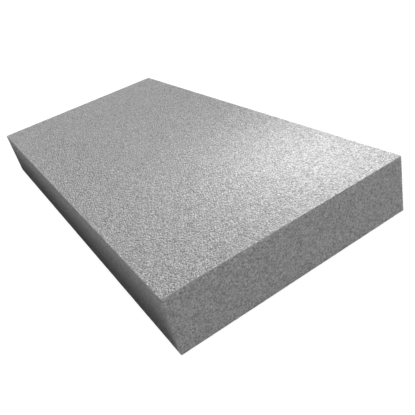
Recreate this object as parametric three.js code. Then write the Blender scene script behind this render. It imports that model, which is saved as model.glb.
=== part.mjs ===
// Rigid foam insulation board with square edges, lying flat: one solid block
// of grey extruded polystyrene, cut to size, with its edges slightly eased.
// Millimetres, +Z up, +X along the length, +Y across the width.
// The origin is the centre of the underside.

import * as THREE from "three";

// Driving dimensions of the board.
const LENGTH = 1250;
const WIDTH = 600;
const THICKNESS = 140;

// Radius of the four upright corners, and of the arrises round both faces.
const CORNER_RADIUS = 3;
const ARRIS_RADIUS = 1.5;

// Straight facets that stand for a quarter turn of each radius.
const CORNER_FACETS = 6;
const ARRIS_FACETS = 3;

const FOAM_COLOUR = 0x9c9c9c;
const FOAM_ROUGHNESS = 0.85;

// The board's outline seen from above: a rectangle with an arc at each corner.
function boardOutline(length, width, radius) {
  const x = length / 2;
  const y = width / 2;
  const quarter = Math.PI / 2;
  const corners = [
    { x: x - radius, y: radius - y, start: -quarter },
    { x: x - radius, y: y - radius, start: 0 },
    { x: radius - x, y: y - radius, start: quarter },
    { x: radius - x, y: radius - y, start: 2 * quarter },
  ];
  const outline = new THREE.Shape();
  for (const corner of corners) {
    const end = corner.start + quarter;
    outline.absarc(corner.x, corner.y, radius, corner.start, end, false);
  }
  return outline;
}

// The outline raised to the board's thickness. The bevel rounds the arrises
// inwards, so the length, width and thickness stay those of the finished board.
function boardSolid() {
  const solid = new THREE.ExtrudeGeometry(
    boardOutline(LENGTH, WIDTH, CORNER_RADIUS),
    {
      depth: THICKNESS - 2 * ARRIS_RADIUS,
      curveSegments: CORNER_FACETS,
      bevelEnabled: true,
      bevelThickness: ARRIS_RADIUS,
      bevelSize: ARRIS_RADIUS,
      bevelOffset: -ARRIS_RADIUS,
      bevelSegments: ARRIS_FACETS,
    },
  );
  solid.translate(0, 0, ARRIS_RADIUS);
  return solid;
}

function foamMaterial() {
  return new THREE.MeshStandardMaterial({
    color: FOAM_COLOUR,
    roughness: FOAM_ROUGHNESS,
    metalness: 0,
  });
}

function insulationBoard() {
  const board = new THREE.Mesh(boardSolid(), foamMaterial());
  board.name = "foam_board";
  const part = new THREE.Group();
  part.add(board);
  return part;
}

export default insulationBoard();
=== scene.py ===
"""Grey pebbled foam insulation board, lying flat on a pale studio floor.

Metres, +Z up, +X along the board's length and +Y across its width. The origin is the centre of the
underside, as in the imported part.
"""

import logging
import math
from dataclasses import dataclass, field
from enum import Enum

import bpy
import numpy as np
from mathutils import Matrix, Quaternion, Vector


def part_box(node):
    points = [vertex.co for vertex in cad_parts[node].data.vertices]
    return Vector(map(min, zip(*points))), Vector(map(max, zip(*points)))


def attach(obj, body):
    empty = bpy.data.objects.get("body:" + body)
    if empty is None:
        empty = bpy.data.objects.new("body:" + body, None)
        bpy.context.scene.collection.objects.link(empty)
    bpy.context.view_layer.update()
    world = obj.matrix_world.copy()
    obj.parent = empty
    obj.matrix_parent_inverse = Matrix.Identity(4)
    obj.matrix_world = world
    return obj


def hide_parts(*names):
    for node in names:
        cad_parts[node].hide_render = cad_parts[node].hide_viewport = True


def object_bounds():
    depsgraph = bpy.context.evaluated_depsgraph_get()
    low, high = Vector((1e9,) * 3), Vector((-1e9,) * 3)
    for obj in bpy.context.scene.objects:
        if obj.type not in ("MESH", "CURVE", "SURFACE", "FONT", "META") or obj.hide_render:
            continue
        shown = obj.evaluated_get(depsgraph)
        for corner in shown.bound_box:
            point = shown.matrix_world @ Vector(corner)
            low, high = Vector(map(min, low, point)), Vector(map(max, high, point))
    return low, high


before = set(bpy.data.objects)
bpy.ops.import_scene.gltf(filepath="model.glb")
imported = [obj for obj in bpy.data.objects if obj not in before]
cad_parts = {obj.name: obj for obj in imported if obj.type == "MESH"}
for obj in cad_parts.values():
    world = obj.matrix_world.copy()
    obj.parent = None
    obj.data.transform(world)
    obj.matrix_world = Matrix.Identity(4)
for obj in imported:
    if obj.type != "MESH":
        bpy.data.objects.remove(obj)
CAD_BOX = [list(corner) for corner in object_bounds()]

CAD_NODE = "foam_board"
BODY = "root"
MM = 0.001
WHITE = (1.0, 1.0, 1.0, 1.0)

log = logging.getLogger("foam_board")


class Face(Enum):
    """The two kinds of face that a foam board has, each with a material of its own."""

    SKIN = 0
    CUT_EDGE = 1


def socket(sockets: bpy.types.bpy_prop_collection, name: str) -> bpy.types.NodeSocket:
    """Finds the socket in use under a name, where a node keeps one for each data type.

    Args:
        sockets: a node's inputs or outputs.
        name: the name that the node shows for the socket.

    Returns:
        The enabled socket of that name.
    """
    return next(s for s in sockets if s.name == name and s.enabled)


@dataclass
class NodeSheet:
    """A node tree being drawn up: adds nodes, sets their plain values and links them."""

    tree: bpy.types.NodeTree

    def node(self, kind: str, **settings: object) -> bpy.types.Node:
        """Adds one node.

        Args:
            kind: the node's type name.
            settings: the node's own properties, set before any socket is used.

        Returns:
            The new node.
        """
        made = self.tree.nodes.new(kind)
        for name, value in settings.items():
            setattr(made, name, value)
        return made

    def feed(self, target: bpy.types.NodeSocket, source: object) -> None:
        """Links a socket to the target, or sets the target's own value.

        Args:
            target: the input that is fed.
            source: an output socket, or a plain value.
        """
        if isinstance(source, bpy.types.NodeSocket):
            self.tree.links.new(source, target)
        else:
            target.default_value = source

    def math(self, operation: str, *terms: object) -> bpy.types.NodeSocket:
        """Adds a Math node and returns its output.

        Args:
            operation: the Math node's operation.
            terms: sockets or numbers, in the order of the node's inputs.

        Returns:
            The node's value.
        """
        made = self.node("ShaderNodeMath", operation=operation)
        for target, term in zip(made.inputs, terms):
            self.feed(target, term)
        return made.outputs["Value"]

    def vector_math(self, operation: str, *terms: object) -> bpy.types.NodeSocket:
        """Adds a Vector Math node and returns its output.

        Args:
            operation: the Vector Math node's operation.
            terms: sockets, vectors or a scale, in the order of the enabled inputs.

        Returns:
            The node's vector, or its value for a dot product.
        """
        made = self.node("ShaderNodeVectorMath", operation=operation)
        for target, term in zip([s for s in made.inputs if s.enabled], terms):
            self.feed(target, term)
        return next(s for s in made.outputs if s.enabled)

    def between(self, low: object, high: object, share: object) -> bpy.types.NodeSocket:
        """Returns low + share * (high - low), each a socket or a number."""
        made = self.node("ShaderNodeMix", data_type="FLOAT")
        self.feed(socket(made.inputs, "Factor"), share)
        self.feed(socket(made.inputs, "A"), low)
        self.feed(socket(made.inputs, "B"), high)
        return socket(made.outputs, "Result")


@dataclass(frozen=True)
class Row:
    """A line of the blank's vertices: their numbers, and where each stands along the line."""

    vertices: np.ndarray
    stations: np.ndarray


@dataclass
class FoamBlank:
    """The board before its grain: a closed net of triangles in which each bead is six triangles
    round one crown, and the beads' corners lie between them.

    The crown attribute is 1 on a bead's crown and 0 between beads, skin says how much of the
    skin's relief a place has, and room is how far a vertex may wander along the surface.

    A pitch is the distance between neighbouring vertices, wander is a share of it, and
    corner_gap is the share of it that a ring keeps clear beside an upright corner. Vertices on
    the arrises and beside the upright corners wander by arris_wander only, so that none leaves
    the board's outline.
    """

    length: float
    width: float
    thickness: float
    corner_radius: float = 2 * MM
    arris_radius: float = 1 * MM
    top_pitch: float = 3.8 * MM
    edge_pitch: float = 5.0 * MM
    underside_pitch: float = 9.6 * MM
    arris_facets: int = 2
    wander: float = 0.32
    underside_skin: float = 0.5
    arris_skin: float = 0.3
    arris_wander: float = 0.03 * MM
    corner_gap: float = 0.35
    seed: int = 3
    points: list[np.ndarray] = field(default_factory=list)
    facts: dict[str, list[np.ndarray]] = field(
        default_factory=lambda: {"crown": [], "skin": [], "room": []}
    )
    triangles: list[tuple[int, int, int]] = field(default_factory=list)
    count: int = 0

    def __post_init__(self) -> None:
        """Starts the source of chance for the arrises."""
        self.chance = np.random.default_rng(self.seed)

    def add(
        self, xyz: np.ndarray, crown: np.ndarray, skin: float, room: np.ndarray
    ) -> np.ndarray:
        """Adds vertices with their facts.

        Args:
            xyz: one row for each vertex.
            crown: 1 on crowns and 0 between beads.
            skin: the share of the skin's relief.
            room: how far each vertex may wander.

        Returns:
            The numbers of the new vertices.
        """
        first = self.count
        self.count += len(xyz)
        self.points.append(self.round_corners(xyz))
        self.facts["crown"].append(crown)
        self.facts["skin"].append(np.full(len(xyz), skin))
        self.facts["room"].append(room)
        return np.arange(first, self.count)

    def round_corners(self, xyz: np.ndarray) -> np.ndarray:
        """Turns the square corners of the outline into arcs of the corner radius.

        Args:
            xyz: one row for each vertex of the square outline.

        Returns:
            The same vertices, with those beside a corner drawn in onto its arc.
        """
        half = np.array([self.length, self.width]) / 2 - self.corner_radius
        core = np.clip(xyz[:, :2], -half, half)
        reach = xyz[:, :2] - core
        square = np.abs(reach).max(axis=1, keepdims=True)
        diagonal = np.linalg.norm(reach, axis=1, keepdims=True)
        scale = np.divide(square, diagonal, out=np.ones_like(square), where=diagonal > 0)
        return np.column_stack([core + reach * scale, xyz[:, 2]])

    def stitch(self, lower: Row, upper: Row, turned: bool = False) -> None:
        """Fills the strip between two rows with triangles.

        Args:
            lower: the row on the right-hand side of travel, seen from outside.
            upper: the row on the left-hand side.
            turned: whether the strip is seen from its other side.
        """
        i = k = 0
        last_i, last_k = len(lower.vertices) - 1, len(upper.vertices) - 1
        while i < last_i or k < last_k:
            along_lower = k == last_k or (
                i < last_i and lower.stations[i + 1] <= upper.stations[k + 1]
            )
            if along_lower:
                corner = (lower.vertices[i], lower.vertices[i + 1], upper.vertices[k])
                i += 1
            else:
                corner = (lower.vertices[i], upper.vertices[k + 1], upper.vertices[k])
                k += 1
            self.triangles.append(corner[::-1] if turned else corner)

    def broad_face(self, height: float, pitch: float, skin: float, turned: bool) -> Row:
        """Lays the lattice of the top or the underside.

        Args:
            height: the face's height.
            pitch: the distance between neighbouring vertices.
            skin: the share of the skin's relief.
            turned: whether the face looks down.

        Returns:
            The face's rim as a closed row, anticlockwise from above, from the +X -Y corner.
        """
        x = self.length / 2 - self.arris_radius
        y = self.width / 2 - self.arris_radius
        columns = round(2 * x / pitch)
        rows = round(2 * y / (pitch * math.sqrt(3) / 2))
        lattice = []
        for j in range(rows + 1):
            # Every other row is shifted by half a step, and its ends are filled up to the rim.
            # A row's numbers count along the lattice, where every third vertex is a crown.
            if j % 2:
                steps = np.concatenate([[0.0], np.arange(columns) + 0.5, [columns]])
                numbers = np.arange(-1, columns + 1) - (j - 1) // 2
            else:
                steps = np.arange(columns + 1.0)
                numbers = np.arange(columns + 1) - j // 2
            xs = -x + steps * (2 * x / columns)
            crown = ((numbers - j) % 3 == 0).astype(float)
            room = np.full(len(xs), self.wander * pitch)
            rim = np.zeros(len(xs), bool)
            rim[[0, -1]] = True
            if j in (0, rows):
                rim[:] = True
            crown[rim] = self.chance.random(rim.sum())
            room[rim] = self.arris_wander
            xyz = np.column_stack(
                [xs, np.full(len(xs), -y + 2 * y * j / rows), np.full(len(xs), height)]
            )
            lattice.append(Row(self.add(xyz, crown, skin, room), xs))
        for lower, upper in zip(lattice, lattice[1:]):
            self.stitch(lower, upper, turned)
        return self.rim_of(lattice)

    def rim_of(self, lattice: list[Row]) -> Row:
        """Follows the outer vertices of a broad face.

        Args:
            lattice: the face's rows, from -Y to +Y.

        Returns:
            The closed rim, anticlockwise from above, stationed from 0 to 4 by side.
        """
        near = np.array([row.vertices[-1] for row in lattice])
        far = np.array([row.vertices[0] for row in lattice])[::-1]
        left = lattice[-1].vertices[::-1]
        right = lattice[0].vertices
        sides = [near, left, far, right]
        vertices = np.concatenate([side[:-1] for side in sides] + [near[:1]])
        stations = [n + np.arange(len(s) - 1) / (len(s) - 1) for n, s in enumerate(sides)]
        return Row(vertices, np.concatenate(stations + [np.array([4.0])]))

    def ring(self, number: int, inset: float, height: float, rim: bool) -> Row:
        """Lays one level ring round the board, with a vertex on each upright corner.

        Args:
            number: the ring's place in the lattice, which shifts every other ring by half a step.
            inset: how far the ring lies inside the board's outline.
            height: the ring's height.
            rim: whether the ring belongs to an arris.

        Returns:
            The closed ring, stationed from 0 to 4 by side.
        """
        turns = np.cumsum([0, self.width, self.length, self.width, self.length])
        round_board = turns[-1]
        steps = 3 * round(round_board / (3 * self.edge_pitch))
        step = round_board / steps
        places = (np.arange(steps) + (number % 2) / 2) * step
        crown = ((np.arange(steps) - number // 2 - number) % 3 == 0).astype(float)
        gaps = np.abs(places[:, None] - turns).min(axis=1)
        clear = gaps > self.corner_gap * step
        places = np.concatenate([places[clear], turns[:4]])
        gaps = np.concatenate([gaps[clear], np.zeros(4)])
        crown = np.concatenate([crown[clear], self.chance.random(4)])
        room = np.where(gaps < step, self.arris_wander, self.wander * step)
        if rim:
            crown = self.chance.random(len(places))
            room[:] = self.arris_wander
        order = np.argsort(places)
        stations = np.interp(places[order], turns, np.arange(5))
        x = self.length / 2 - inset
        y = self.width / 2 - inset
        xyz = np.column_stack(
            [
                np.interp(stations, np.arange(5), [x, x, -x, -x, x]),
                np.interp(stations, np.arange(5), [-y, y, y, -y, -y]),
                np.full(len(stations), height),
            ]
        )
        vertices = self.add(xyz, crown[order], self.arris_skin * rim, room[order])
        return Row(np.append(vertices, vertices[0]), np.append(stations, 4.0))

    def arris(self, top: bool) -> list[Row]:
        """Lays the rings inside one rounded arris.

        Args:
            top: whether it is the arris round the top, and not the one round the underside.

        Returns:
            The rings, from the board's side towards its broad face.
        """
        rings = []
        for n in range(1, self.arris_facets):
            turn = math.pi / 2 * n / self.arris_facets
            inset = self.arris_radius * (1 - math.cos(turn))
            drop = self.arris_radius * (1 - math.sin(turn))
            height = self.thickness - drop if top else drop
            rings.append(self.ring(n, inset, height, rim=True))
        return rings

    def build(self) -> bpy.types.Mesh:
        """Lays every face, joins them and returns the closed mesh with its attributes."""
        underside = self.broad_face(0, self.underside_pitch, self.underside_skin, True)
        low, high = self.arris_radius, self.thickness - self.arris_radius
        levels = round((high - low) / (self.edge_pitch * math.sqrt(3) / 2))
        rings = [underside, *self.arris(top=False)[::-1]]
        for n in range(levels + 1):
            height = low + (high - low) * n / levels
            rings.append(self.ring(n, 0, height, rim=n in (0, levels)))
        rings += self.arris(top=True)
        rings.append(self.broad_face(self.thickness, self.top_pitch, 1.0, False))
        for lower, upper in zip(rings, rings[1:]):
            self.stitch(lower, upper)
        mesh = bpy.data.meshes.new("foam_blank")
        mesh.from_pydata(np.concatenate(self.points).tolist(), [], self.triangles)
        for name, values in self.facts.items():
            layer = mesh.attributes.new(name, "FLOAT", "POINT")
            layer.data.foreach_set("value", np.concatenate(values))
        return mesh


@dataclass
class PebbleRelief:
    """The grain's relief as a Geometry Nodes tree: crowns stand out, seams between beads lie
    deep, and every vertex wanders a little, so no bead is like the next. All of it goes inwards.
    """

    skin_relief: float = 0.8 * MM
    edge_relief: float = 0.4 * MM
    crown_spread: float = 0.6
    seam_rise: float = 0.7
    swell_depth: float = 0.2 * MM
    swell_length: float = 45 * MM
    seed: int = 7

    def named(self, sheet: NodeSheet, name: str) -> bpy.types.NodeSocket:
        """Reads one of the blank's attributes.

        Args:
            sheet: the tree being drawn up.
            name: the attribute's name.

        Returns:
            The attribute's value.
        """
        node = sheet.node("GeometryNodeInputNamedAttribute", data_type="FLOAT")
        node.inputs["Name"].default_value = name
        return socket(node.outputs, "Attribute")

    def chance(
        self, sheet: NodeSheet, low: object, high: object, seed: object, kind: str = "FLOAT"
    ) -> bpy.types.NodeSocket:
        """Draws a random value or vector for each vertex.

        Args:
            sheet: the tree being drawn up.
            low: the lower bound, a socket or a plain value.
            high: the upper bound.
            seed: the draw's own seed.
            kind: the data type of what is drawn.

        Returns:
            The value or vector.
        """
        node = sheet.node("FunctionNodeRandomValue", data_type=kind)
        sheet.feed(socket(node.inputs, "Min"), low)
        sheet.feed(socket(node.inputs, "Max"), high)
        sheet.feed(socket(node.inputs, "Seed"), seed)
        return socket(node.outputs, "Value")

    def interface(self, tree: bpy.types.NodeTree) -> dict[str, object]:
        """Makes the tree's sockets and returns the value that each input gets."""
        sizes = {
            "Skin Relief": self.skin_relief,
            "Edge Relief": self.edge_relief,
            "Crown Spread": self.crown_spread,
            "Seam Rise": self.seam_rise,
            "Swell Depth": self.swell_depth,
            "Swell Length": self.swell_length,
        }
        new = tree.interface.new_socket
        new(name="Geometry", in_out="INPUT", socket_type="NodeSocketGeometry")
        for name in sizes:
            new(name=name, in_out="INPUT", socket_type="NodeSocketFloat")
        new(name="Seed", in_out="INPUT", socket_type="NodeSocketInt")
        for face in Face:
            new(name=face.name, in_out="INPUT", socket_type="NodeSocketMaterial")
        new(name="Geometry", in_out="OUTPUT", socket_type="NodeSocketGeometry")
        return {**sizes, "Seed": self.seed}

    def tree(self) -> tuple[bpy.types.NodeTree, dict[str, object]]:
        """Draws up the tree and returns it with the values of its inputs."""
        tree = bpy.data.node_groups.new("pebble_relief", "GeometryNodeTree")
        tree.is_modifier = True
        values = self.interface(tree)
        sheet = NodeSheet(tree)
        given = sheet.node("NodeGroupInput").outputs
        normal = sheet.node("GeometryNodeInputNormal").outputs[0]
        place = sheet.node("GeometryNodeInputPosition").outputs[0]

        # Each draw adds a number of its own to the seed.
        seed = given["Seed"]
        crown = self.named(sheet, "crown")
        crown_drop = self.chance(sheet, 0.0, given["Crown Spread"], seed)
        seam_top = sheet.math("SUBTRACT", 1.0, given["Seam Rise"])
        seam_drop = self.chance(sheet, seam_top, 1.0, sheet.math("ADD", seed, 1))
        relief = sheet.between(
            given["Edge Relief"], given["Skin Relief"], self.named(sheet, "skin")
        )
        drop = sheet.math("MULTIPLY", relief, sheet.between(seam_drop, crown_drop, crown))

        swell = sheet.node("ShaderNodeTexNoise", noise_dimensions="3D")
        sheet.feed(swell.inputs["Vector"], place)
        sheet.feed(swell.inputs["Scale"], sheet.math("DIVIDE", 1.0, given["Swell Length"]))
        hollow = sheet.math("MULTIPLY", given["Swell Depth"], swell.outputs["Fac"])
        depth = sheet.math("ADD", drop, hollow)
        sink = sheet.vector_math("SCALE", normal, sheet.math("MULTIPLY", depth, -1.0))

        step = self.chance(
            sheet, (-1.0,) * 3, (1.0,) * 3, sheet.math("ADD", seed, 2), "FLOAT_VECTOR"
        )
        outward = sheet.vector_math("DOT_PRODUCT", step, normal)
        along = sheet.vector_math(
            "SUBTRACT", step, sheet.vector_math("SCALE", normal, outward)
        )
        wander = sheet.vector_math("SCALE", along, self.named(sheet, "room"))

        moved = sheet.node("GeometryNodeSetPosition")
        sheet.feed(moved.inputs["Geometry"], given["Geometry"])
        sheet.feed(moved.inputs["Offset"], sheet.vector_math("ADD", sink, wander))
        toned = sheet.node("GeometryNodeStoreNamedAttribute", data_type="FLOAT", domain="POINT")
        sheet.feed(toned.inputs["Geometry"], moved.outputs["Geometry"])
        toned.inputs["Name"].default_value = "tone"
        tone = self.chance(sheet, 0.0, 1.0, sheet.math("ADD", seed, 3))
        sheet.feed(socket(toned.inputs, "Value"), tone)
        smooth = sheet.node("GeometryNodeSetShadeSmooth")
        sheet.feed(smooth.inputs["Geometry"], toned.outputs["Geometry"])
        real = sheet.node("GeometryNodeRealizeInstances")
        sheet.feed(real.inputs["Geometry"], smooth.outputs["Geometry"])
        dressed = self.dress(sheet, real.outputs["Geometry"], given)
        sheet.feed(sheet.node("NodeGroupOutput").inputs["Geometry"], dressed)
        return tree, values

    def dress(
        self,
        sheet: NodeSheet,
        geometry: bpy.types.NodeSocket,
        given: bpy.types.bpy_prop_collection,
    ) -> bpy.types.NodeSocket:
        """Gives faces that look up or down the skin's material, and the others the cut edge's.

        Args:
            sheet: the tree being drawn up.
            geometry: the bare geometry.
            given: the tree's inputs, with one material for each kind of face.

        Returns:
            The geometry with its materials.
        """
        # The least upright share of a normal that still counts as up or down.
        steepest_skin = 0.7
        normal = sheet.node("GeometryNodeInputNormal").outputs[0]
        parts = sheet.node("ShaderNodeSeparateXYZ")
        sheet.feed(parts.inputs[0], normal)
        level = sheet.math("ABSOLUTE", parts.outputs["Z"])
        broad = sheet.math("GREATER_THAN", level, steepest_skin)
        picks = {Face.SKIN: broad, Face.CUT_EDGE: sheet.math("SUBTRACT", 1.0, broad)}
        for face, chosen in picks.items():
            node = sheet.node("GeometryNodeSetMaterial")
            sheet.feed(node.inputs["Geometry"], geometry)
            sheet.feed(node.inputs["Selection"], chosen)
            sheet.feed(node.inputs["Material"], given[face.name])
            geometry = node.outputs["Geometry"]
        return geometry

    def apply(
        self, blank: bpy.types.Mesh, name: str, materials: dict[Face, bpy.types.Material]
    ) -> bpy.types.Object:
        """Runs the tree on a blank.

        Args:
            blank: the mesh that gets the relief.
            name: the finished piece's name.
            materials: the material of each kind of face.

        Returns:
            The finished piece, a plain mesh with no modifier.
        """
        carrier = bpy.data.objects.new("foam_blank", blank)
        bpy.context.scene.collection.objects.link(carrier)
        tree, values = self.tree()
        modifier = carrier.modifiers.new("pebble_relief", "NODES")
        modifier.node_group = tree
        values.update({face.name: material for face, material in materials.items()})
        for item in tree.interface.items_tree:
            if item.in_out == "INPUT" and item.name in values:
                modifier[item.identifier] = values[item.name]
        shapes = bpy.context.evaluated_depsgraph_get()
        mesh = bpy.data.meshes.new_from_object(
            carrier.evaluated_get(shapes), preserve_all_data_layers=True, depsgraph=shapes
        )
        bpy.data.objects.remove(carrier)
        bpy.data.meshes.remove(blank)
        mesh.name = name
        piece = bpy.data.objects.new(name, mesh)
        bpy.context.scene.collection.objects.link(piece)
        return piece


def value_group(name: str, inputs: tuple[str, ...], outputs: tuple[str, ...]) -> NodeSheet:
    """Starts a shader node group whose sockets carry values, and a vector named Vector.

    Args:
        name: the group's name.
        inputs: the names of its inputs.
        outputs: the names of its outputs.

    Returns:
        A sheet of the new group.
    """
    tree = bpy.data.node_groups.new(name, "ShaderNodeTree")
    for in_out, names in (("INPUT", inputs), ("OUTPUT", outputs)):
        for each in names:
            kind = "NodeSocketVector" if each == "Vector" else "NodeSocketFloat"
            tree.interface.new_socket(name=each, in_out=in_out, socket_type=kind)
    return NodeSheet(tree)


def bead_tint_and_painted_seams_group() -> bpy.types.NodeTree:
    """Makes the group that tints each bead by chance and paints shade between the beads."""
    sheet = value_group(
        "bead_tint_and_painted_seams", ("Crown", "Tone", "Contrast", "Painted Shade In Seams"), ("Shade",)
    )
    given = sheet.node("NodeGroupInput").outputs
    swing = sheet.math("MULTIPLY_ADD", given["Tone"], 2.0, -1.0)
    tint = sheet.math("MULTIPLY_ADD", swing, given["Contrast"], 1.0)
    # Painted shade: the seams between beads, where the relief lies deep, are darkened in colour.
    seam = sheet.between(given["Painted Shade In Seams"], 1.0, given["Crown"])
    shade = sheet.math("MULTIPLY", tint, seam)
    sheet.feed(sheet.node("NodeGroupOutput").inputs["Shade"], shade)
    return sheet.tree


def foam_cells_group() -> bpy.types.NodeTree:
    """Makes the group for the foam's granules and small cells: their height, a chance tone for
    each granule, and a mask of open pores.
    """
    # The noise that places the pores runs from noise_low over noise_span. A pore's rim fades
    # over pore_blur on either side of the threshold.
    noise_low = 0.18
    noise_span = 0.5
    noise_detail = 2.0
    pore_blur = 0.08
    sheet = value_group(
        "foam_cells",
        ("Vector", "Granule Size", "Cell Size", "Cell Share", "Pore Size", "Pore Share"),
        ("Height", "Granules", "Pores"),
    )
    given = sheet.node("NodeGroupInput").outputs
    domes = []
    tones = []
    for size in ("Granule Size", "Cell Size"):
        cells = sheet.node("ShaderNodeTexVoronoi", feature="F1")
        sheet.feed(cells.inputs["Vector"], given["Vector"])
        sheet.feed(cells.inputs["Scale"], sheet.math("DIVIDE", 1.0, given[size]))
        domes.append(sheet.math("SUBTRACT", 1.0, cells.outputs["Distance"]))
        parts = sheet.node("ShaderNodeSeparateXYZ")
        sheet.feed(parts.inputs[0], cells.outputs["Color"])
        tones.append(parts.outputs["X"])
    wall = sheet.math("MULTIPLY_ADD", domes[1], given["Cell Share"], domes[0])
    spots = sheet.node("ShaderNodeTexNoise", noise_dimensions="3D")
    spots.inputs["Detail"].default_value = noise_detail
    sheet.feed(spots.inputs["Vector"], given["Vector"])
    sheet.feed(spots.inputs["Scale"], sheet.math("DIVIDE", 1.0, given["Pore Size"]))
    pores = sheet.node("ShaderNodeMapRange", interpolation_type="SMOOTHSTEP")
    sheet.feed(pores.inputs["Value"], spots.outputs["Fac"])
    middle = sheet.math("MULTIPLY_ADD", given["Pore Share"], noise_span, noise_low)
    sheet.feed(pores.inputs["From Min"], sheet.math("ADD", middle, pore_blur))
    sheet.feed(pores.inputs["From Max"], sheet.math("SUBTRACT", middle, pore_blur))
    result = sheet.node("NodeGroupOutput").inputs
    sheet.feed(result["Height"], wall)
    sheet.feed(result["Granules"], tones[0])
    sheet.feed(result["Pores"], pores.outputs["Result"])
    return sheet.tree


@dataclass(frozen=True)
class FoamFinish:
    """One finish of the foam: its grey, the contrast of its beads, the shade painted into its
    seams and pores, its granules and the small cells in them, and its gloss.
    """

    name: str
    grey: float
    bead_contrast: float
    # Painted shade: how dark the colour is made in the seams between beads.
    painted_seam_shade: float
    pore_size: float
    pore_share: float
    # Painted shade: how dark the colour is made in the open pores.
    painted_pore_shade: float
    granule_size: float
    granule_contrast: float
    granule_depth: float
    cell_size: float
    cell_share: float
    smooth_roughness: float
    rough_roughness: float
    specular: float

    def material(
        self, bead_tint_and_painted_seams: bpy.types.NodeTree, foam_cells: bpy.types.NodeTree
    ) -> bpy.types.Material:
        """Builds the finish's material.

        Args:
            bead_tint_and_painted_seams: the group that tints beads and paints shade into the seams.
            foam_cells: the group for granules, cells and pores.

        Returns:
            The new material.
        """
        made = bpy.data.materials.new(self.name)
        made.use_nodes = True
        sheet = NodeSheet(made.node_tree)
        shader = made.node_tree.nodes["Principled BSDF"]
        shader.inputs["Specular IOR Level"].default_value = self.specular
        place = sheet.node("ShaderNodeTexCoord").outputs["Object"]

        beads = sheet.node("ShaderNodeGroup", node_tree=bead_tint_and_painted_seams)
        for name in ("Crown", "Tone"):
            read = sheet.node("ShaderNodeAttribute", attribute_name=name.lower())
            sheet.feed(beads.inputs[name], read.outputs["Fac"])
        beads.inputs["Contrast"].default_value = self.bead_contrast
        beads.inputs["Painted Shade In Seams"].default_value = self.painted_seam_shade

        cells = sheet.node("ShaderNodeGroup", node_tree=foam_cells)
        sheet.feed(cells.inputs["Vector"], place)
        cells.inputs["Granule Size"].default_value = self.granule_size
        cells.inputs["Cell Size"].default_value = self.cell_size
        cells.inputs["Cell Share"].default_value = self.cell_share
        cells.inputs["Pore Size"].default_value = self.pore_size
        cells.inputs["Pore Share"].default_value = self.pore_share

        low, high = 1.0 - self.granule_contrast, 1.0 + self.granule_contrast
        granule_shade = sheet.between(low, high, cells.outputs["Granules"])
        # Painted shade: the colour is darkened in the open pores.
        painted_pore_shade = sheet.between(1.0, self.painted_pore_shade, cells.outputs["Pores"])
        fine_shade = sheet.math("MULTIPLY", granule_shade, painted_pore_shade)
        # The shade holds the beads' chance tint and the granules' tone, with the painted shade of
        # seams and pores.
        shade = sheet.math("MULTIPLY", beads.outputs["Shade"], fine_shade)
        grey = sheet.math("MULTIPLY", shade, self.grey)
        sheet.feed(shader.inputs["Base Color"], grey)
        dull = sheet.between(
            self.smooth_roughness, self.rough_roughness, cells.outputs["Pores"]
        )
        sheet.feed(shader.inputs["Roughness"], dull)
        bump = sheet.node("ShaderNodeBump")
        bump.inputs["Distance"].default_value = self.granule_depth
        sheet.feed(bump.inputs["Height"], cells.outputs["Height"])
        sheet.feed(shader.inputs["Normal"], bump.outputs["Normal"])
        return made


@dataclass
class FoamBoard:
    """The insulation board: one block of foam with pebbled faces and cut edges."""

    name: str = "pebbled_foam_board"
    skin: FoamFinish = FoamFinish(
        name="grey_foam_skin",
        grey=0.475,
        bead_contrast=0.14,
        painted_seam_shade=0.82,
        pore_size=9 * MM,
        pore_share=0.3,
        painted_pore_shade=0.88,
        granule_size=2.9 * MM,
        granule_contrast=0.4,
        granule_depth=4 * MM,
        cell_size=1.6 * MM,
        cell_share=0.05,
        smooth_roughness=0.7,
        rough_roughness=0.83,
        specular=0.5,
    )
    cut_edge: FoamFinish = FoamFinish(
        name="grey_foam_cut_edge",
        grey=0.432,
        bead_contrast=0.08,
        painted_seam_shade=0.9,
        pore_size=5.5 * MM,
        pore_share=0.4,
        painted_pore_shade=0.7,
        granule_size=2.8 * MM,
        granule_contrast=0.3,
        granule_depth=0.5 * MM,
        cell_size=1.6 * MM,
        cell_share=0.25,
        smooth_roughness=0.6,
        rough_roughness=0.8,
        specular=0.35,
    )
    relief: PebbleRelief = field(default_factory=PebbleRelief)

    def build(self) -> bpy.types.Object:
        """Makes the board in the space of its CAD solid, and returns it."""
        low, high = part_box(CAD_NODE)
        size = high - low
        blank = FoamBlank(length=size.x, width=size.y, thickness=size.z)
        groups = bead_tint_and_painted_seams_group(), foam_cells_group()
        materials = {
            Face.SKIN: self.skin.material(*groups),
            Face.CUT_EDGE: self.cut_edge.material(*groups),
        }
        board = self.relief.apply(blank.build(), self.name, materials)
        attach(board, BODY)
        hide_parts(CAD_NODE)
        return board


@dataclass(frozen=True)
class Softbox:
    """A soft rectangular lamp that the camera doesn't see."""

    name: str
    place: tuple[float, float, float]
    aim: tuple[float, float, float]
    width: float
    height: float
    power: float

    def build(self) -> bpy.types.Object:
        """Hangs the lamp at its place, turned to its aim, and returns it."""
        lamp = bpy.data.lights.new(self.name, "AREA")
        lamp.shape = "RECTANGLE"
        lamp.size = self.width
        lamp.size_y = self.height
        lamp.energy = self.power
        hung = bpy.data.objects.new(self.name, lamp)
        hung.location = self.place
        view = Vector(self.aim) - Vector(self.place)
        hung.rotation_euler = view.to_track_quat("-Z", "Y").to_euler()
        hung.visible_camera = False
        bpy.context.scene.collection.objects.link(hung)
        return hung


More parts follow.
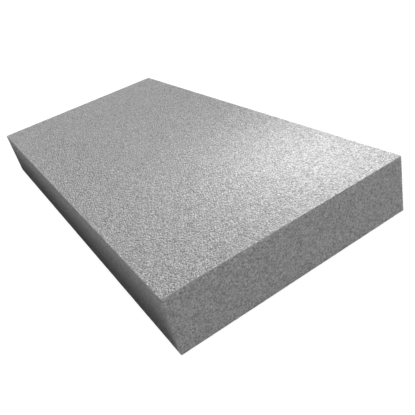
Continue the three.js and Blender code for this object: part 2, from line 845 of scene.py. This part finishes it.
@dataclass
class Studio:
    """The floor, the light and the camera round the board.

    The backdrop is a little brighter than white, so it stays pure white up to the picture's
    border, and the painted contact shadow on the floor shows only close to the board. The flag
    keeps light off the near long edge, which is dark at its foot.
    """

    floor_side: float = 40.0
    floor_bounce: float = 0.17
    # Depth and fade of the shadow painted on the floor round the board's foot.
    painted_shadow_depth: float = 0.11
    painted_shadow_fade: float = 14 * MM
    zenith: float = 0.42
    horizon: float = 1.17
    backdrop: float = 1.08
    softboxes: tuple[Softbox, ...] = (
        Softbox(
            name="corner_softbox",
            place=(0.475, 0.22, 0.44),
            aim=(0.475, 0.22, 0.0),
            width=0.35,
            height=0.2,
            power=1.47,
        ),
        Softbox(
            name="edge_strip",
            place=(0.624, -0.3275, 0.055),
            aim=(0.624, -0.2175, 0.09),
            width=0.006,
            height=0.115,
            power=0.003,
        ),
    )
    key_aim: tuple[float, float, float] = (0.0, -0.906, -0.42)
    key_strength: float = 2.2
    key_angle: float = 12.0
    flag_gap: float = 130 * MM
    flag_height: float = 125 * MM
    flag_skirt: float = 125 * MM
    flag_lift: float = 0.5 * MM
    flag_ends: tuple[float, float] = (-1.3, 0.7)
    felt_grey: float = 0.01
    camera_place: tuple[float, float, float] = (1.289964, -0.470904, 0.688199)
    camera_aim: tuple[float, float, float] = (0.441122, -0.085473, 0.14)
    camera_roll: float = -15.5481
    camera_lens: float = 43.8942
    camera_sensor: float = 36.0
    camera_reach: float = 100.0

    def floor(self) -> bpy.types.Object:
        """Lays the pale floor. The camera sees it white but for a faint painted shadow at the
        board's foot, and it throws back little.
        """
        half = self.floor_side / 2
        corners = [(-half, -half, 0), (half, -half, 0), (half, half, 0), (-half, half, 0)]
        mesh = bpy.data.meshes.new("studio_floor")
        mesh.from_pydata(corners, [], [(0, 1, 2, 3)])
        floor = bpy.data.objects.new("studio_floor", mesh)
        bpy.context.scene.collection.objects.link(floor)
        paint = bpy.data.materials.new("pale_floor")
        paint.use_nodes = True
        paint.node_tree.nodes.clear()
        sheet = NodeSheet(paint.node_tree)
        glow = sheet.node("ShaderNodeEmission")
        sheet.feed(glow.inputs["Strength"], self.glow_with_painted_shadow(sheet))
        bounce = sheet.node("ShaderNodeBsdfDiffuse")
        bounce.inputs["Color"].default_value = (self.floor_bounce,) * 3 + (1.0,)
        mix = sheet.node("ShaderNodeMixShader")
        path = sheet.node("ShaderNodeLightPath")
        sheet.feed(mix.inputs[0], path.outputs["Is Camera Ray"])
        sheet.feed(mix.inputs[1], bounce.outputs[0])
        sheet.feed(mix.inputs[2], glow.outputs[0])
        sheet.feed(sheet.node("ShaderNodeOutputMaterial").inputs[0], mix.outputs[0])
        mesh.materials.append(paint)
        return floor

    def glow_with_painted_shadow(self, sheet: NodeSheet) -> bpy.types.NodeSocket:
        """Works out how white the floor looks: a painted shadow dims it towards the board's
        outline.

        Args:
            sheet: the floor's tree being drawn up.

        Returns:
            The strength of the floor's glow.
        """
        place = sheet.node("ShaderNodeTexCoord").outputs["Object"]
        outline = (*CAD_BOX[1][:2], 0.0)
        outside = sheet.vector_math(
            "SUBTRACT", sheet.vector_math("ABSOLUTE", place), outline
        )
        reach = sheet.vector_math("MAXIMUM", outside, (0.0, 0.0, 0.0))
        away = sheet.vector_math("LENGTH", reach)
        # Painted contact shadow: the floor's glow is dimmed close to the board's outline.
        fade = sheet.math("EXPONENT", sheet.math("DIVIDE", away, -self.painted_shadow_fade))
        painted_shadow = sheet.math("MULTIPLY", fade, self.painted_shadow_depth)
        return sheet.math("SUBTRACT", self.backdrop, painted_shadow)

    def flag(self) -> bpy.types.Object:
        """Stands a black flag beside the near long edge, with its skirt laid over the floor between
        them, all out of the camera's sight.
        """
        y = CAD_BOX[0][1] - self.flag_gap
        hem = y + self.flag_skirt
        left, right = self.flag_ends
        corners = [
            (left, y, self.flag_lift),
            (right, y, self.flag_lift),
            (right, y, self.flag_height),
            (left, y, self.flag_height),
            (left, hem, self.flag_lift),
            (right, hem, self.flag_lift),
        ]
        mesh = bpy.data.meshes.new("studio_flag")
        mesh.from_pydata(corners, [], [(0, 1, 2, 3), (0, 1, 5, 4)])
        flag = bpy.data.objects.new("studio_flag", mesh)
        bpy.context.scene.collection.objects.link(flag)
        felt = bpy.data.materials.new("black_felt")
        felt.use_nodes = True
        shader = felt.node_tree.nodes["Principled BSDF"]
        shader.inputs["Base Color"].default_value = (self.felt_grey,) * 3 + (1.0,)
        shader.inputs["Specular IOR Level"].default_value = 0.0
        mesh.materials.append(felt)
        flag.visible_camera = False
        return flag

    def sky(self) -> bpy.types.World:
        """Makes the sky, brighter at the horizon, and the backdrop that the camera sees."""
        world = bpy.data.worlds.new("studio_sky")
        bpy.context.scene.world = world
        world.use_nodes = True
        sheet = NodeSheet(world.node_tree)
        background = world.node_tree.nodes["Background"]
        background.inputs["Color"].default_value = WHITE
        parts = sheet.node("ShaderNodeSeparateXYZ")
        sheet.feed(parts.inputs[0], sheet.node("ShaderNodeTexCoord").outputs["Generated"])
        rise = sheet.math("ABSOLUTE", parts.outputs["Z"])
        glow = sheet.between(self.horizon, self.zenith, rise)
        path = sheet.node("ShaderNodeLightPath")
        strength = sheet.between(glow, self.backdrop, path.outputs["Is Camera Ray"])
        sheet.feed(background.inputs["Strength"], strength)
        return world

    def key(self) -> bpy.types.Object:
        """Hangs the key lamp far off over the far long edge, so that it rakes the top face."""
        lamp = bpy.data.lights.new("key_lamp", "SUN")
        lamp.energy = self.key_strength
        lamp.angle = math.radians(self.key_angle)
        hung = bpy.data.objects.new("key_lamp", lamp)
        hung.rotation_euler = Vector(self.key_aim).to_track_quat("-Z", "Y").to_euler()
        bpy.context.scene.collection.objects.link(hung)
        return hung

    def light(self) -> None:
        """Sets the sky, the key lamp and the softboxes."""
        self.sky()
        self.key()
        for softbox in self.softboxes:
            softbox.build()

    def camera(self) -> bpy.types.Object:
        """Sets the camera at the photograph's viewing angle and makes it the scene's."""
        optics = bpy.data.cameras.new("camera")
        optics.lens = self.camera_lens
        optics.sensor_width = self.camera_sensor
        optics.clip_end = self.camera_reach
        camera = bpy.data.objects.new("camera", optics)
        camera.location = self.camera_place
        view = Vector(self.camera_aim) - Vector(self.camera_place)
        roll = Quaternion((0, 0, 1), math.radians(self.camera_roll))
        camera.rotation_euler = (view.to_track_quat("-Z", "Y") @ roll).to_euler()
        bpy.context.scene.collection.objects.link(camera)
        bpy.context.scene.camera = camera
        return camera

    def build(self) -> None:
        """Sets up the whole studio."""
        self.camera()
        self.floor()
        self.flag()
        self.light()
        bpy.context.scene.view_settings.view_transform = "Standard"


def report(piece: bpy.types.Object) -> None:
    """Logs a piece's name, its triangles and its size.

    Args:
        piece: the finished piece.
    """
    piece.data.calc_loop_triangles()
    size = " x ".join(f"{side / MM:.1f}" for side in piece.dimensions)
    log.info("%s: %d triangles, %s mm", piece.name, len(piece.data.loop_triangles), size)


def main() -> None:
    """Builds the studio and the board."""
    logging.basicConfig(level=logging.INFO, format="%(message)s")
    Studio().build()
    report(FoamBoard().build())


if __name__ == "__main__":
    main()
